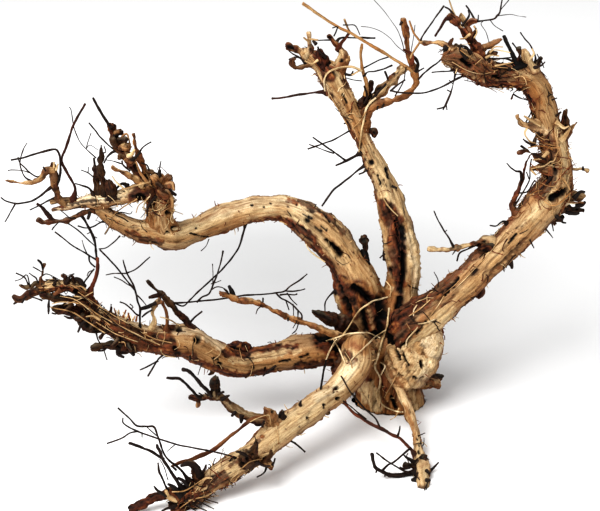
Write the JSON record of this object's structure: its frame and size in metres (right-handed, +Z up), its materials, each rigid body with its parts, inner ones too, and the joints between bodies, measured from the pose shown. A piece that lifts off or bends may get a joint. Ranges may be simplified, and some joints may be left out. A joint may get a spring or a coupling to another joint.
{
  "type": "tree-shaped aquarium driftwood",
  "caption": "Branching root driftwood on a flat-worn stump, with bent limbs, knots, stubs and stiff twigs, for an aquarium or terrarium.",
  "frame": {"origin": "middle of the stump's flat foot, on the surface it stands on", "axes": "+Z up; +X to the right as seen from the front, along the wood's widest reach; the front faces -Y"},
  "size_m": [0.5262, 0.2723, 0.4063],
  "materials": {
    "wood": "weathered bare root wood: pale tan grain, dark red-brown bark remnants and black knots"
  },
  "bodies": {
    "root": {"driftwood": "wood"}
  },
  "joints": []
}
